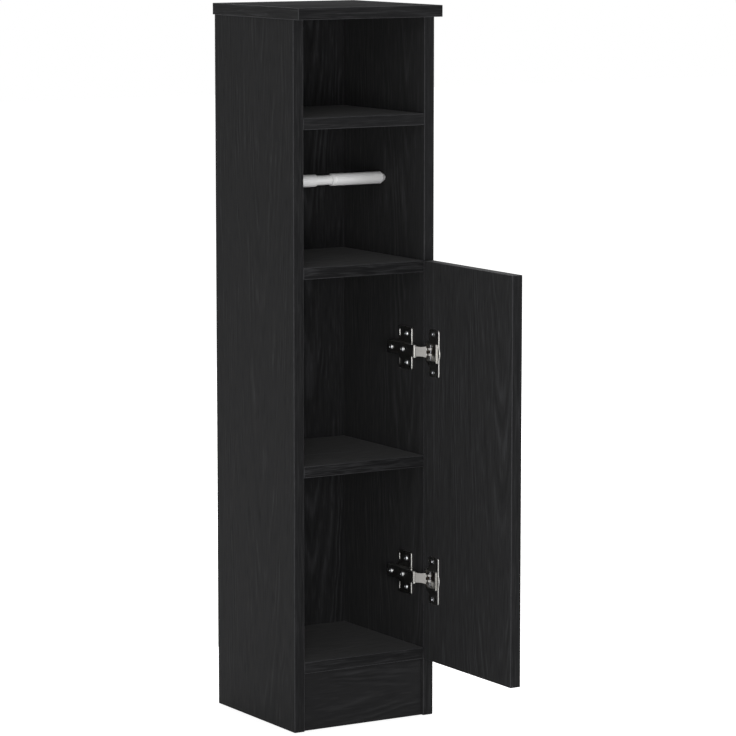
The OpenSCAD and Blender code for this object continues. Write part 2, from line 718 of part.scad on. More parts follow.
// Cam locks under every shelf end, each hollow where it grips its bolt's head
module cam_locks() {
  color(ZINC) placed() at_shelf_ends(cam_y) translate([cam_in, 0, 0]) difference() {
    cylinder(r = cam_r, h = cam_h);
    translate([-cam_r - overlap_cut, -cam_gate_h / 2, panel_t / 2 - cam_gate_h / 2])
      cube([cam_r + overlap_cut + bolt_neck_r, cam_gate_h, cam_gate_h]);
    for (a = [0, 90]) rotate(a)
      translate([-cam_cross_l / 2, -cam_cross_w / 2, -overlap_cut])
        cube([cam_cross_l, cam_cross_w, overlap_cut + cross_w]);
  }
}

module cam_bolts() {
  color(ZINC) placed() at_shelf_ends(cam_y) translate([0, 0, panel_t / 2]) {
    x_rod(bolt_thread_r, -bolt_thread_l, overlap_cut);
    x_rod(bolt_neck_r, 0, cam_in - bolt_waist_l - bolt_head_l / 2);
    x_rod(bolt_waist_r, cam_in - bolt_waist_l - bolt_head_l, cam_in);
    x_rod(bolt_neck_r, cam_in - bolt_head_l / 2, cam_in + bolt_head_l / 2);
  }
}

module dowels() {
  color(BEECH) placed() {
    at_shelf_ends([cabinet_d / 2]) translate([0, 0, panel_t / 2]) dowel_along(0);
    at_plinth_ends() dowel_along(0);
    at_side_tops() translate([0, 0, dowel_in - dowel_l]) cylinder(r = dowel_r, h = dowel_l);
  }
}

left_side_panel();
right_side_panel();
top_panel();
upper_shelf();
middle_shelf();
inner_shelf();
floor_panel();
plinth();
back_panel();
door_panel();
upper_hinge_cup();
lower_hinge_cup();
upper_hinge_link();
lower_hinge_link();
upper_hinge_arm();
lower_hinge_arm();
upper_hinge_plate();
lower_hinge_plate();
hinge_arm_screws();
hinge_plate_screws();
hinge_cup_screws();
hinge_arm_pins();
hinge_cup_pins();
spindle_sleeve();
spindle_plunger();
spindle_spring();
cam_locks();
cam_bolts();
dowels();
back_panel_nails();
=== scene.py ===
"""Looks of a slim toilet roll cabinet in black oak melamine, with its door standing open.

Metres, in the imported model's frame: the origin is on the floor in the middle of the plinth's foot,
+Z is up and the front faces -Y.
"""
import math

import bmesh
import bpy
from mathutils import Euler, Matrix, Quaternion, Vector


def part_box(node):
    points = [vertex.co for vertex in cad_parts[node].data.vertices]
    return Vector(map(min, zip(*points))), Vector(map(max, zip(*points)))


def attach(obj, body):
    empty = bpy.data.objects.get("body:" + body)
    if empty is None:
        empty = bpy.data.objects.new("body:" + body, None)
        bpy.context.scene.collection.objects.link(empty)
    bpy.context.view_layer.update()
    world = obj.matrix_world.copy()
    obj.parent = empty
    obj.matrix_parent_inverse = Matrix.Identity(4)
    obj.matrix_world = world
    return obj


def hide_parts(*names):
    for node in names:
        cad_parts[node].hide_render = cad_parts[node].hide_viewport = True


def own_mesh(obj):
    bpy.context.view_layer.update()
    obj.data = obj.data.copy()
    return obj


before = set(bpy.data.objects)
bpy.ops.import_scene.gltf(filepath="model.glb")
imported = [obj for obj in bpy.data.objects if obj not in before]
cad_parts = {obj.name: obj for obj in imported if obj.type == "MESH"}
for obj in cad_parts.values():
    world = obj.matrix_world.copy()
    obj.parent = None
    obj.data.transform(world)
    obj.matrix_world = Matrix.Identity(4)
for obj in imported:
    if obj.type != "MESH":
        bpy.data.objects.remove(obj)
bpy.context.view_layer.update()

MM = 0.001
BODY = "cabinet"
DOOR = "door"
AXES = "XYZ"
SIDES = (-1, 1)


# ---------------------------------------------------------------- colours and nodes

def linear(code):
    """An sRGB hex colour as the opaque linear values that a shader takes."""
    parts = [int(code[i:i + 2], 16) / 255 for i in (1, 3, 5)]
    light = [p / 12.92 if p <= 0.04045 else ((p + 0.055) / 1.055) ** 2.4 for p in parts]
    return (*light, 1.0)


def add(tree, kind, inputs=(), **settings):
    """Adds one node. An input takes a socket, a node (its first output) or a plain value."""
    made = tree.nodes.new(kind)
    for key, value in settings.items():
        setattr(made, key, value)
    for key, value in dict(inputs).items():
        if isinstance(value, bpy.types.Node):
            value = value.outputs[0]
        if isinstance(value, bpy.types.NodeSocket):
            tree.links.new(value, made.inputs[key])
        else:
            made.inputs[key].default_value = value
    return made


def maths(tree, operation, *values):
    """Adds a maths node over the values, in their order."""
    return add(tree, "ShaderNodeMath", dict(enumerate(values)), operation=operation)


def mapped(tree, value, to, source=(0.0, 1.0), **settings):
    """Adds a node that carries a value from the source range to another and holds it there."""
    return add(tree, "ShaderNodeMapRange",
               {"Value": value, "From Min": source[0], "From Max": source[1],
                "To Min": to[0], "To Max": to[1]}, **settings)


def object_place(tree):
    """The place of each point in the object's own axes."""
    return add(tree, "ShaderNodeTexCoord").outputs["Object"]


def ramp(tree, source, stops):
    """A colour ramp over a 0 to 1 value; stops are (place, hex colour)."""
    made = add(tree, "ShaderNodeValToRGB", {"Fac": source})
    while len(made.color_ramp.elements) < len(stops):
        made.color_ramp.elements.new(0.5)
    for element, (place, code) in zip(made.color_ramp.elements, stops):
        element.position = place
        element.color = linear(code)
    return made.outputs["Color"]


def new_finish(name):
    """An empty material and its node tree."""
    finish = bpy.data.materials.new(name)
    finish.use_nodes = True
    finish.node_tree.nodes.clear()
    return finish, finish.node_tree


def close_finish(tree, surface):
    """Joins the shader to the material's output."""
    add(tree, "ShaderNodeOutputMaterial", {"Surface": surface})


def coated(tree, colour, roughness, normal, more):
    """Closes a finish with a principled shader; more holds its other inputs."""
    inputs = {"Base Color": colour, "Roughness": roughness, "Normal": normal, **more}
    close_finish(tree, add(tree, "ShaderNodeBsdfPrincipled", inputs))


# ---------------------------------------------------------------- finishes

BLACK_OAK = ((0.0, "#1b1b1c"), (0.33, "#222223"), (0.5, "#262627"), (0.68, "#2d2d2e"),
             (1.0, "#3b3b3d"))
# the sheen stands for the pressed pores, which scatter light that comes along the face
OAK_FOIL = {"Specular IOR Level": 0.02, "Sheen Weight": 0.08, "Sheen Roughness": 0.5}
# the top is seen almost edge on, where any gloss would mirror the room and lose its outline
OAK_FLAT_FOIL = {"Specular IOR Level": 0.0, "Sheen Weight": 0.06, "Sheen Roughness": 0.5}
# depth of the pressed pores, and of most other finishes' unevenness
RELIEF = 0.05 * MM
YEARS_PER_METRE = 190


def oak_print(name, along, across, heart, tilt, depth, moved=(0, 0, 0), bold=1.0, painted_light=0.0,
              foil=OAK_FOIL):
    """Melamine foil printed with black oak and pressed with its pores.

    The eye sees a matt near-black with slightly paler growth rings that nest in narrow V's, broken
    into patches, and short dashes between them. along and across are the board's axes; heart is
    where the V's stand across the board, and tilt and depth set how fast the rings leave the face.
    moved shifts the print. bold is the strength of the rings and dashes, and the shift of the
    whole sheet along BLACK_OAK is painted light or shade: it makes one board paler or darker to
    stand in for more or less light falling on it.
    """
    finish, tree = new_finish(name)
    place = add(tree, "ShaderNodeMapping", {"Vector": object_place(tree), "Location": moved})
    axis = add(tree, "ShaderNodeSeparateXYZ", {0: place}).outputs
    run, side = axis[along], axis[across]
    third = axis[next(a for a in AXES if a not in (along, across))]

    def stretched(share, scale, detail):
        """Noise in blots 1 / scale metres wide, and 1 / share times as long along the grain."""
        slow = maths(tree, "MULTIPLY", run, share)
        spot = add(tree, "ShaderNodeCombineXYZ", {0: side, 1: third, 2: slow})
        return add(tree, "ShaderNodeTexNoise",
                   {"Vector": spot, "Scale": scale, "Detail": detail, "Roughness": 0.5})

    # the noise keeps near its middle, so that the rings wander by up to 8 mm over half a metre of
    # grain and waver by 1.5 mm over 50 mm
    wander = mapped(tree, stretched(0.12, 16, 2), (-18 * MM, 18 * MM))
    waver = mapped(tree, stretched(0.3, 70, 1), (-3.5 * MM, 3.5 * MM))
    bend = maths(tree, "ADD", wander, waver)
    off = maths(tree, "SUBTRACT", side, heart)
    reach = maths(tree, "ADD", off, bend)
    climb = maths(tree, "MULTIPLY_ADD", run, tilt, depth)
    radius = add(tree, "ShaderNodeVectorMath",
                 {0: add(tree, "ShaderNodeCombineXYZ", {0: reach, 1: climb})}, operation="LENGTH")
    # the rings are about 5 mm apart, unevenly
    years = maths(tree, "MULTIPLY", radius.outputs["Value"], YEARS_PER_METRE)
    uneven = add(tree, "ShaderNodeTexNoise", {"W": years, "Scale": 0.45, "Detail": 1},
                 noise_dimensions="1D")
    age = maths(tree, "MULTIPLY_ADD", uneven, 2.4, years)
    turn = maths(tree, "MULTIPLY", age, math.tau)
    wave = maths(tree, "SINE", turn)
    pale = mapped(tree, wave, (0, 1), (0.3, 1.0))
    dark = mapped(tree, wave, (0, 1), (-0.4, -1.0))
    # they show in patches 20 mm wide and 90 mm long
    patch = mapped(tree, stretched(0.22, 50, 2), (0, 1), (0.42, 0.64),
                   interpolation_type="SMOOTHSTEP")
    pale_ring = maths(tree, "MULTIPLY", pale, patch)
    dark_ring = maths(tree, "MULTIPLY", dark, patch)
    # pores are 0.3 mm wide in oak; they are drawn 2 mm wide and 25 mm long so that they show
    pores = stretched(0.09, 430, 1)
    dash = mapped(tree, pores, (0, 1), (0.55, 0.75))
    groove = mapped(tree, pores, (0, 1), (0.45, 0.25))
    cloud = stretched(0.25, 45, 3)
    # the tone range is shifted by painted light or shade, standing in for how much light falls on
    # this board
    tone = mapped(tree, cloud, (0.4 + painted_light, 0.6 + painted_light))
    # how far each mark moves the tone along BLACK_OAK
    for mark, weight in ((pale_ring, 0.3), (dark_ring, -0.24), (dash, 0.22), (groove, -0.18)):
        tone = maths(tree, "MULTIPLY_ADD", mark, weight * bold, tone)
    # the pressed pores are a little rougher
    roughness = mapped(tree, groove, (0.55, 0.7))
    press = add(tree, "ShaderNodeBump", {"Height": groove, "Strength": 0.4, "Distance": RELIEF},
                invert=True)
    coated(tree, ramp(tree, tone, BLACK_OAK), roughness, press, foil)
    return finish


def edge_strip(name, along, bold, darker):
    """ABS edge strip with the same oak: wavy lines along the strip, livelier than on the faces.

    bold is the contrast of its lines, and darker moves all of it towards BLACK_OAK's dark end.
    """
    finish, tree = new_finish(name)
    place = object_place(tree)

    def lines(share, scale, distortion):
        """Noise in lines 1 / scale metres thick, and 1 / share times as long along the strip."""
        stretch = [share if a == along else 1 for a in AXES]
        sized = add(tree, "ShaderNodeMapping", {"Vector": place, "Scale": stretch})
        return add(tree, "ShaderNodeTexNoise",
                   {"Vector": sized, "Scale": scale, "Detail": 1, "Distortion": distortion})

    # lines 1.6 mm thick over others 3.3 mm thick, both about 50 mm long
    fine = lines(0.032, 620, 0.6)
    broad = lines(0.07, 300, 1.2)
    both = maths(tree, "ADD", fine, broad)
    tone = mapped(tree, both, (-darker, 1 - darker), (1 - 0.4 / bold, 1 + 0.4 / bold))
    roughness = mapped(tree, fine, (0.5, 0.66))
    press = add(tree, "ShaderNodeBump", {"Height": fine, "Strength": 0.3, "Distance": RELIEF})
    coated(tree, ramp(tree, tone, BLACK_OAK), roughness, press, OAK_FOIL)
    return finish


EVEN = (1, 1, 1)


def speckled(name, scale, stretch, tones, rough, bump=0.0, relief=RELIEF, **shader):
    """A finish whose colour, gloss and relief follow one noise.

    Its specks are 1 / scale metres wide, and longer along an axis where stretch is under 1.
    """
    finish, tree = new_finish(name)
    sized = add(tree, "ShaderNodeMapping", {"Vector": object_place(tree), "Scale": stretch})
    noise = add(tree, "ShaderNodeTexNoise",
                {"Vector": sized, "Scale": scale, "Detail": 3, "Roughness": 0.6})
    gloss = mapped(tree, noise, rough, (0.3, 0.7))
    uneven = add(tree, "ShaderNodeBump", {"Height": noise, "Strength": bump, "Distance": relief})
    fixed = {key.replace("_", " "): value for key, value in shader.items()}
    coated(tree, ramp(tree, noise, tones), gloss, uneven, fixed)
    return finish


# painted shade: the left side's print is darkened to offset the strong light the lamps give it
oak_left = oak_print("black_oak_melamine_left_side", "Z", "Y",
                     heart=0.071, tilt=-0.05, depth=0.075, painted_light=-0.14)
oak_right = oak_print("black_oak_melamine_right_side", "Z", "Y",
                      heart=0.03, tilt=-0.05, depth=0.08, moved=(0, 0, 0.21))
# painted light: the door's print is made paler to stand in for light that the lamps don't give its
# inner face
oak_door = oak_print("black_oak_melamine_door", "Z", "Y",
                     heart=-0.195, tilt=-0.055, depth=0.075, moved=(0, 0, 0.05), bold=0.85,
                     painted_light=0.13)
# painted light: the back's print is made paler to stand in for light that the lamps don't bring into
# the niches
oak_back = oak_print("black_oak_foil_on_hardboard", "Z", "X",
                     heart=0.055, tilt=-0.05, depth=0.08, moved=(0.02, 0, 0.4), painted_light=0.06)
oak_shelf = oak_print("black_oak_melamine_shelf", "X", "Y", heart=0.05, tilt=0.06, depth=0.03)
oak_top = oak_print("black_oak_melamine_top", "X", "Y",
                    heart=0.09, tilt=0.05, depth=0.025, moved=(0.3, 0, 0), foil=OAK_FLAT_FOIL)
oak_plinth = oak_print("black_oak_melamine_plinth", "X", "Z",
                       heart=0.036, tilt=0.09, depth=0.02, bold=0.6)
STRIPS = {a: edge_strip(f"black_oak_edge_strip_along_{a.lower()}", a, bold, darker)
          for a, bold, darker in (("X", 0.95, 0.08), ("Y", 1.0, 0.0), ("Z", 0.75, 0.1))}
# the two shelves by the door have strips with bolder lines, darkened all over: painted shade that
# stands in for the open door's shadow on their front edges
DOOR_SHADE_STRIPS = {**STRIPS, "X": edge_strip("black_oak_edge_strip_lively", "X", 2.1, 0.2)}
# the strip's corner is scraped after gluing, which leaves a thin paler line; the line is also made
# lighter as a painted highlight, standing in for the rounded corner catching the light
scraped_edge_and_highlight = speckled("scraped_abs_edge", 300, EVEN, ((0.3, "#333335"), (0.7, "#414143")),
                        (0.45, 0.55), Specular_IOR_Level=0.1)
# pressed wood chips about 2 mm across, darkened as painted shade: the walls of the bored holes are
# given the dark of their shadow instead of raw chipboard's pale tan
chipboard = speckled("sealed_chipboard", 420, EVEN,
                     ((0.3, "#241d17"), (0.5, "#352b22"), (0.7, "#4a3c2f")),
                     (0.75, 0.9), bump=0.6, relief=0.3 * MM)
# fibre board dyed through, with a fleck of lighter fibre
dyed_hardboard = speckled("dyed_hardboard", 900, EVEN,
                          ((0.3, "#211e1c"), (0.6, "#2b2725"), (0.8, "#3c3733")),
                          (0.6, 0.75), bump=0.3, Specular_IOR_Level=0.2)
# nickel over pressed steel: bright, with a very faint orange peel
bright_nickel = speckled("nickel_plated_pressed_steel", 380, EVEN,
                         ((0.3, "#a3a29f"), (0.7, "#b3b2af")), (0.27, 0.33), bump=0.02,
                         Metallic=1.0)
# the link is tumbled before plating, so that it is satin
satin_nickel = speckled("satin_nickel_plated_steel", 700, EVEN,
                        ((0.3, "#908e8b"), (0.7, "#9d9b98")), (0.3, 0.4), bump=0.05,
                        Metallic=1.0)
# clear zinc over steel, slightly blue
clear_zinc = speckled("clear_zinc_plated_screw", 500, EVEN, ((0.3, "#b9bbbe"), (0.7, "#cccecf")),
                      (0.26, 0.36), bump=0.1, Metallic=1.0)
# cast zinc straight from the mould, dull with flow marks
cast_zinc = speckled("die_cast_zinc", 260, EVEN, ((0.3, "#8d8f92"), (0.7, "#a4a6a8")),
                     (0.42, 0.58), bump=0.25, Metallic=1.0)
# hard-drawn wire, unevenly bright from the die
drawn_wire = speckled("drawn_spring_steel", 900, (0.2, 1, 1), ((0.3, "#85868a"), (0.7, "#a2a3a6")),
                      (0.28, 0.4), bump=0.2, Metallic=1.0)
# moulded polystyrene, off-white and satin, with a faint flow cloud
white_plastic = speckled("moulded_white_polystyrene", 45, (0.4, 1, 1),
                         ((0.3, "#f7f7f7"), (0.7, "#fbfbfb")), (0.36, 0.46), bump=0.05, IOR=1.59)
# turned and fluted beech with short dark rays
bare_beech = speckled("fluted_beech", 700, (1, 1, 0.1), ((0.3, "#b08a5a"), (0.7, "#cfae7e")),
                      (0.6, 0.75), bump=0.3)


# ---------------------------------------------------------------- meshes

# two measures closer than this are the same
SAME = 0.01 * MM
# faces that meet at more than this many radians make a square edge
SQUARE = 1.0
# a point this close to a side of a board's box counts as lying on that side
ON_SIDE = 1.3 * MM
# a face at a board's edge whose normal keeps less than this to one axis belongs to the easing
ALONG_AXIS = 0.985
# a board's finishes in order: its face at 0, then these, with a strip for each axis
EASED, CORE, FIRST_STRIP = 1, 2, 3


def placed(name, data):
    """A new object in the scene."""
    made = bpy.data.objects.new(name, data)
    bpy.context.scene.collection.objects.link(made)
    return made


def as_mesh(shape, name):
    """A bmesh, which is used up, as a mesh."""
    mesh = bpy.data.meshes.new(name)
    shape.to_mesh(mesh)
    shape.free()
    return mesh


def plain_mesh(source, name):
    """The evaluated shape of an object as a mesh of its own."""
    bpy.context.view_layer.update()
    graph = bpy.context.evaluated_depsgraph_get()
    mesh = bpy.data.meshes.new_from_object(source.evaluated_get(graph))
    mesh.name = name
    return mesh


def finished(name, mesh, finishes, body, node_names):
    """Makes a mesh an object that rides on its body and stands for its CAD nodes."""
    piece = placed(name, mesh)
    if not mesh.materials:
        for finish in finishes:
            mesh.materials.append(finish)
    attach(piece, body)
    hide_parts(*node_names)
    return piece


def merged_copy(node_name):
    """The CAD node's shape as one closed mesh with its flat faces whole."""
    shape = bmesh.new()
    shape.from_mesh(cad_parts[node_name].data)
    bmesh.ops.remove_doubles(shape, verts=shape.verts, dist=1e-6)
    bmesh.ops.dissolve_limit(shape, angle_limit=math.radians(0.5), verts=shape.verts,
                             edges=shape.edges)
    return shape


def bent(edge, angle):
    """Whether two faces meet at the edge at more than an angle in radians."""
    return len(edge.link_faces) == 2 and edge.calc_face_angle(0) > angle


def middle(edge):
    """The point halfway along the edge."""
    return (edge.verts[0].co + edge.verts[1].co) / 2


def bevelled(shape, edges, radius, segments, clamped=True):
    """Rounds edges of a bmesh."""
    bmesh.ops.bevel(shape, geom=edges, offset=radius, offset_type="OFFSET", segments=segments,
                    profile=0.5, affect="EDGES", clamp_overlap=clamped)


def board(name, node_name, body, face, core=chipboard, ease=0.55 * MM, strips=STRIPS):
    """A board with eased outer edges, strips on its narrow faces and its raw core in its holes."""
    low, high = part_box(node_name)
    shape = merged_copy(node_name)
    thin = min(range(3), key=lambda i: high[i] - low[i])

    def outer_planes(point):
        """How many sides of the board's box the point lies on."""
        return sum(min(abs(point[i] - low[i]), abs(point[i] - high[i])) < ON_SIDE
                   for i in range(3))

    corners = [e for e in shape.edges if bent(e, SQUARE) and outer_planes(middle(e)) >= 2]
    bevelled(shape, corners, ease, 3)
    for side in shape.faces:
        flat = max(range(3), key=lambda i: abs(side.normal[i]))
        planes = outer_planes(side.calc_center_median())
        if planes == 0:
            side.material_index = CORE
        elif planes >= 2 and abs(side.normal[flat]) < ALONG_AXIS:
            side.material_index = EASED
        elif flat != thin:
            long = next(i for i in range(3) if i not in (flat, thin))
            side.material_index = FIRST_STRIP + long
    # the eased corners take the paler finish, which is partly painted highlight
    finishes = (face, scraped_edge_and_highlight, core, *strips.values())
    return finished(name, as_mesh(shape, name), finishes, body, [node_name])


def smoothed(mesh, sharp_angle):
    """The mesh shaded smooth up to an angle in degrees."""
    for polygon in mesh.polygons:
        polygon.use_smooth = True
    mesh.set_sharp_from_angle(angle=math.radians(sharp_angle))
    return mesh


def softened(mesh, sharp_angle):
    """The mesh shaded smooth up to an angle in degrees, with its large flat faces left flat."""
    blank = placed(mesh.name + "_blank", smoothed(mesh, sharp_angle))
    weighed = blank.modifiers.new("weighed", "WEIGHTED_NORMAL")
    weighed.weight = 100   # only the faces' areas count
    weighed.keep_sharp = True
    result = plain_mesh(blank, mesh.name + "_soft")
    bpy.data.objects.remove(blank)
    return result


def sheet_metal(name, node_name, body, finish, ease, rolls=()):
    """A pressed or cast piece: the CAD shape with its crisp edges rounded by ease.

    Each roll is (height, radius, chosen): the outline of the face at that X is rolled over by the
    larger radius wherever chosen says yes to an edge's middle.
    """
    shape = merged_copy(node_name)
    for height, radius, chosen in rolls:
        outline = [e for e in shape.edges if e.is_convex and bent(e, SQUARE)
                   and all(abs(v.co.x - height) < SAME for v in e.verts) and chosen(middle(e))]
        bevelled(shape, outline, radius, 5, clamped=False)
    crisp = [e for e in shape.edges if bent(e, math.radians(50))]
    bevelled(shape, crisp, ease, 2)
    mesh = softened(as_mesh(shape, name), 35)
    return finished(name, mesh, (finish,), body, [node_name])


def cut_away(mesh, cutter):
    """The mesh without what lies inside the cutter, a bmesh that is used up."""
    tool = placed(mesh.name + "_cutter", as_mesh(cutter, mesh.name + "_cutter"))
    blank = placed(mesh.name + "_blank", mesh)
    cut = blank.modifiers.new("cut", "BOOLEAN")
    cut.operation = "DIFFERENCE"
    cut.solver = "EXACT"
    cut.use_self = True
    cut.object = tool
    result = plain_mesh(blank, mesh.name + "_cut")
    for helper in (tool, blank):
        bpy.data.objects.remove(helper)
    return result


def cross_cut(mesh, length, width, depth, top):
    """The mesh with a cross recess cut into its head, whose face is at height top.

    The recess narrows to 0.45 of its length and 0.8 of its width at its floor.
    """
    cutter = bmesh.new()
    for turn in (0, 90):
        made = bmesh.ops.create_cube(cutter, size=1.0)["verts"]
        for v in made:
            if v.co.z < 0:
                v.co = Vector((v.co.x * length * 0.45, v.co.y * width * 0.8, top - depth))
            else:
                v.co = Vector((v.co.x * length, v.co.y * width, top + depth))
        bmesh.ops.rotate(cutter, verts=made, cent=(0, 0, 0),
                         matrix=Matrix.Rotation(math.radians(turn), 3, "Z"))
    return cut_away(mesh, cutter)


def circle(steps):
    """The angles of evenly spread points on a circle."""
    return [math.tau * i / steps for i in range(steps)]


def skinned(shape, rings):
    """Joins each ring of points in a bmesh to the next; a ring of one point is a tip."""
    for one, two in zip(rings, rings[1:]):
        steps = max(len(one), len(two))
        for i in range(steps):
            j = (i + 1) % steps
            if len(one) == 1:
                shape.faces.new((one[0], two[i], two[j]))
            elif len(two) == 1:
                shape.faces.new((one[i], one[j], two[0]))
            else:
                shape.faces.new((one[i], one[j], two[j], two[i]))


def turned(name, profile, steps=48):
    """A mesh turned about Z from a profile of (radius, height) points, its two ends on the axis."""
    shape = bmesh.new()
    rings = []
    for radius, height in profile:
        if radius <= 0:
            rings.append([shape.verts.new((0, 0, height))])
        else:
            rings.append([shape.verts.new((radius * math.cos(a), radius * math.sin(a), height))
                          for a in circle(steps)])
    skinned(shape, rings)
    bmesh.ops.recalc_face_normals(shape, faces=shape.faces)
    return smoothed(as_mesh(shape, name), 32)


def scaled(profile):
    """A profile in millimetres as one in metres."""
    return [(radius * MM, height * MM) for radius, height in profile]


# ---------------------------------------------------------------- geometry nodes

def new_tree(name, inputs, output):
    """An empty tree of geometry nodes with inputs (name, kind), and its group input's sockets."""
    tree = bpy.data.node_groups.new(name, "GeometryNodeTree")
    for label, kind in inputs:
        tree.interface.new_socket(label, in_out="INPUT", socket_type="NodeSocket" + kind)
    tree.interface.new_socket(output, in_out="OUTPUT", socket_type="NodeSocketGeometry")
    return tree, add(tree, "NodeGroupInput").outputs


def run_tree(holder, tree, values, name):
    """The mesh that a tree makes of the holder, which is used up, with the given inputs."""
    modifier = holder.modifiers.new(name, "NODES")
    modifier.node_group = tree
    for socket in tree.interface.items_tree:
        if socket.item_type == "SOCKET" and socket.in_out == "INPUT" and socket.name in values:
            modifier[socket.identifier] = values[socket.name]
    mesh = plain_mesh(holder, name)
    holder.modifiers.remove(modifier)
    bpy.data.objects.remove(holder)
    return mesh


def fittings_tree():
    """Puts one fitting at each point, turned by the point's own angles."""
    tree, given = new_tree("fitting_at_each_place",
                           (("Places", "Geometry"), ("Fitting", "Object"), ("Finish", "Material")),
                           "Fittings")
    shape = add(tree, "GeometryNodeObjectInfo", {"Object": given["Fitting"]},
                transform_space="ORIGINAL")
    turn = add(tree, "GeometryNodeInputNamedAttribute", {"Name": "turn"}, data_type="FLOAT_VECTOR")
    angles = add(tree, "FunctionNodeEulerToRotation", {"Euler": turn})
    points = add(tree, "GeometryNodeMeshToPoints", {"Mesh": given["Places"]})
    set_down = add(tree, "GeometryNodeInstanceOnPoints",
                   {"Points": points, "Instance": shape.outputs["Geometry"], "Rotation": angles})
    real = add(tree, "GeometryNodeRealizeInstances", {"Geometry": set_down})
    painted = add(tree, "GeometryNodeSetMaterial", {"Geometry": real, "Material": given["Finish"]})
    add(tree, "NodeGroupOutput", {0: painted})
    return tree


def spring_tree():
    """A compression spring along +X: round wire wound on a helix."""
    tree, given = new_tree("wound_spring",
                           (("Start", "Geometry"), ("Turns", "Float"), ("Coil radius", "Float"),
                            ("Wire radius", "Float"), ("Length", "Float"), ("Finish", "Material")),
                           "Spring")
    helix = add(tree, "GeometryNodeCurveSpiral",
                {"Rotations": given["Turns"], "Start Radius": given["Coil radius"],
                 "End Radius": given["Coil radius"], "Height": given["Length"], "Resolution": 36})
    wire = add(tree, "GeometryNodeCurvePrimitiveCircle",
               {"Radius": given["Wire radius"], "Resolution": 12})
    wound = add(tree, "GeometryNodeCurveToMesh",
                {"Curve": helix, "Profile Curve": wire, "Fill Caps": True})
    laid = add(tree, "GeometryNodeTransform",
               {"Geometry": wound, "Rotation": Euler((0, math.radians(90), 0))})
    smooth = add(tree, "GeometryNodeSetShadeSmooth", {"Geometry": laid, "Shade Smooth": True})
    real = add(tree, "GeometryNodeRealizeInstances", {"Geometry": smooth})
    painted = add(tree, "GeometryNodeSetMaterial", {"Geometry": real, "Material": given["Finish"]})
    add(tree, "NodeGroupOutput", {0: painted})
    return tree


FITTINGS = fittings_tree()


def facing(direction, spin=0.0):
    """Angles that point a fitting's +Z along the direction, once spun in degrees about itself."""
    aimed = Vector(direction).to_track_quat("Z", "Y")
    return (aimed @ Quaternion((0, 0, 1), math.radians(spin))).to_euler()


def set_out(name, template, places, finish, body, node_names):
    """One piece with the template at every place; a place is (point, angles about X, Y and Z)."""
    cloud = bpy.data.meshes.new(name + "_places")
    cloud.from_pydata([point for point, _ in places], [], [])
    turns = cloud.attributes.new("turn", "FLOAT_VECTOR", "POINT")
    for row, (_, angles) in zip(turns.data, places):
        row.vector = angles
    pattern = placed(name + "_pattern", template)
    holder = placed(name + "_holder", cloud)
    mesh = run_tree(holder, FITTINGS, {"Fitting": pattern, "Finish": finish}, name)
    bpy.data.objects.remove(pattern)
    return finished(name, mesh, (finish,), body, node_names)


# ---------------------------------------------------------------- boards

board("left_side_board", "left_side_panel", BODY, oak_left)
board("right_side_board", "right_side_panel", BODY, oak_right)
board("top_board", "top_panel", BODY, oak_top)
board("upper_shelf_board", "upper_shelf", BODY, oak_shelf)
# the middle and inner shelves take strips darkened as painted shade for the open door's shadow
board("middle_shelf_board", "middle_shelf", BODY, oak_shelf,
      strips=DOOR_SHADE_STRIPS)
board("inner_shelf_board", "inner_shelf", BODY, oak_shelf,
      strips=DOOR_SHADE_STRIPS)
board("floor_board", "floor_panel", BODY, oak_shelf)
board("plinth_board", "plinth", BODY, oak_plinth)
board("back_board", "back_panel", BODY, oak_back, core=dyed_hardboard,
      ease=0.2 * MM)
board("door_board", "door_panel", DOOR, oak_door)


# ---------------------------------------------------------------- hinges

def centre_of(node_name):
    """The middle of a CAD node's box."""
    low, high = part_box(node_name)
    return (low + high) / 2


def clear_of(holes):
    """Says yes to a point that lies outside all the holes, each (y, z, radius)."""
    return lambda point: all(math.hypot(point.y - y, point.z - z) > radius
                             for y, z, radius in holes)


HINGES = {"upper": centre_of("upper_hinge_cup").z, "lower": centre_of("lower_hinge_cup").z}
# outer faces of the cup's flange on the door and of the plate's wings on the side panel
FLANGE_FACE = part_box("door_panel")[0].x - 1.3 * MM
WING_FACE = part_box("right_side_panel")[0].x - 2.6 * MM
# middles of the cup, of its screws and of the plate's
CUP_Y = -36.5 * MM
CUP_SCREW_Y = centre_of("hinge_cup_screws").y
PLATE_SCREW_Y = centre_of("hinge_plate_screws").y
# how far the screws lie above and below the hinge's middle
CUP_SCREW_RISE = 25 * MM
PLATE_SCREW_RISE = 19 * MM
# middle and rear wall of the slots in the plate's wings, level with the screws
SLOT_Y = 42 * MM
SLOT_REAR = 43.5 * MM
# an edge nearer than this to the middle of a hole belongs to its rim and isn't rolled
CUP_RIM_R = 18.1 * MM
CUP_SCREW_RIM_R = 4.5 * MM
PLATE_SCREW_RIM_R = 3.3 * MM
SLOT_RIM_R = 4.6 * MM
# the wings are rolled up to here, in front of their slots
WING_ROLL_END = SLOT_REAR - 4 * MM

